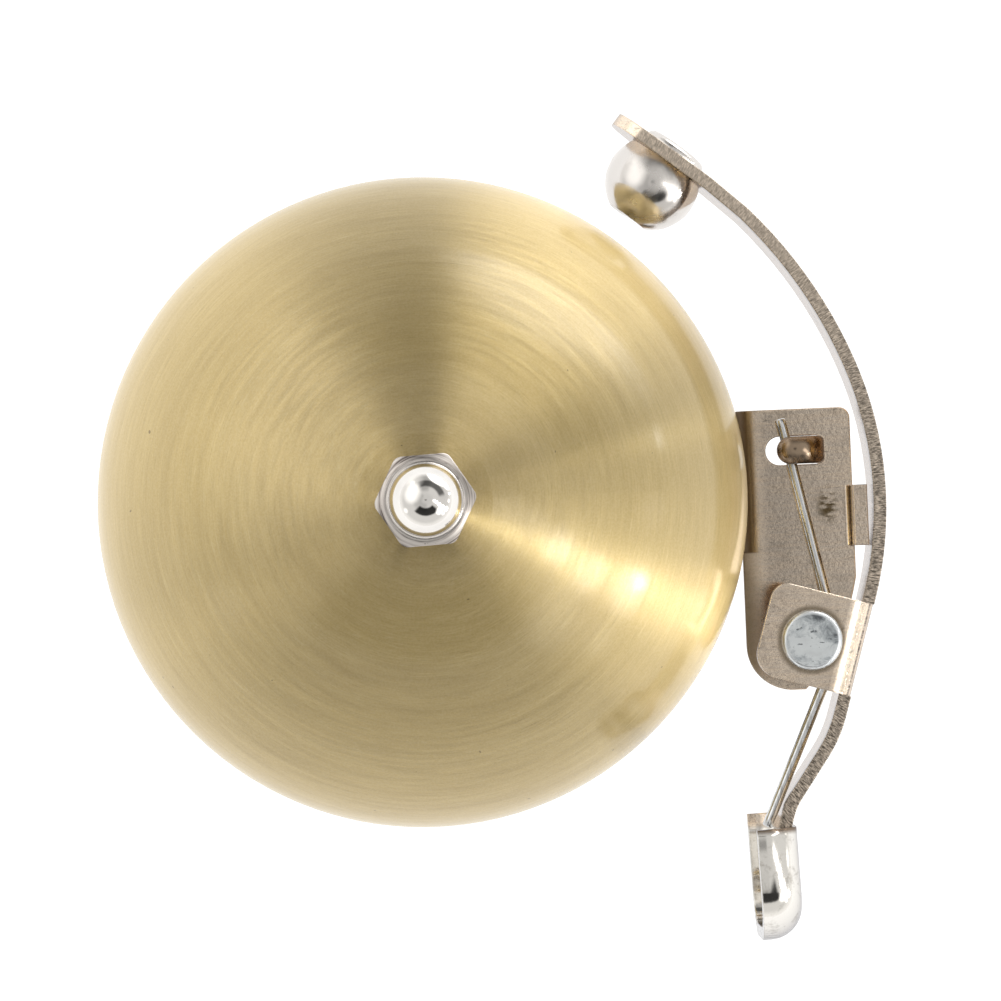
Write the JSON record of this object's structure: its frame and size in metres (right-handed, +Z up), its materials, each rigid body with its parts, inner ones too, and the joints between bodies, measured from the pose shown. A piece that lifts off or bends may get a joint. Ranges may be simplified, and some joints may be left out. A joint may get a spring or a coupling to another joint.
{
  "type": "bicycle bell",
  "caption": "Bicycle bell: brass gong over a sprung thumb lever that swings a ball striker, on a two-part handlebar clamp.",
  "frame": {"origin": "centre of the handlebar clamp's bore, on the gong's axis", "axes": "+Z up along the gong's axis, +Y along the handlebar towards the striker, +X towards the lever's pivot side"},
  "size_m": [0.0726, 0.0767, 0.0745],
  "materials": {
    "lacquered_brass": "spun and brushed round the axis, clear lacquered",
    "bright_plate": "polished nickel plate",
    "satin_plate": "satin nickel plated steel",
    "zinc_plate": "bright zinc plated steel",
    "spring_wire": "drawn bright spring wire",
    "white_nylon": "moulded nylon",
    "black_rubber": "moulded rubber"
  },
  "bodies": {
    "bell_base": {"bell_dome": "lacquered_brass", "acorn_nut": "bright_plate", "centre_bolt": "zinc_plate", "post_lock_washer": "zinc_plate", "centre_post": "zinc_plate", "crown_washer": "white_nylon", "bracket": "satin_plate", "pivot_sleeve": "zinc_plate", "return_spring": "spring_wire", "clamp_saddle": "satin_plate", "clamp_strap": "satin_plate", "bar_liner_upper": "black_rubber", "bar_liner_lower": "black_rubber", "clamp_washer_a": "zinc_plate", "clamp_screw_a": "zinc_plate", "clamp_nut_a": "zinc_plate", "clamp_washer_b": "zinc_plate", "clamp_screw_b": "zinc_plate", "clamp_nut_b": "zinc_plate"},
    "thumb_lever": {"lever": "satin_plate", "striker": "bright_plate", "pivot_rivet": "zinc_plate"}
  },
  "joints": [
    {"name": "lever_pivot", "type": "hinge", "parent": "bell_base", "child": "thumb_lever", "pos_m": [0.0351, -0.01415, 0.025], "axis": [0, 0, -1], "range_deg": [0, 25], "stiffness_Nm_per_rad": 0.16, "springref_deg": -28.65, "deforming": ["return_spring"]}
  ]
}
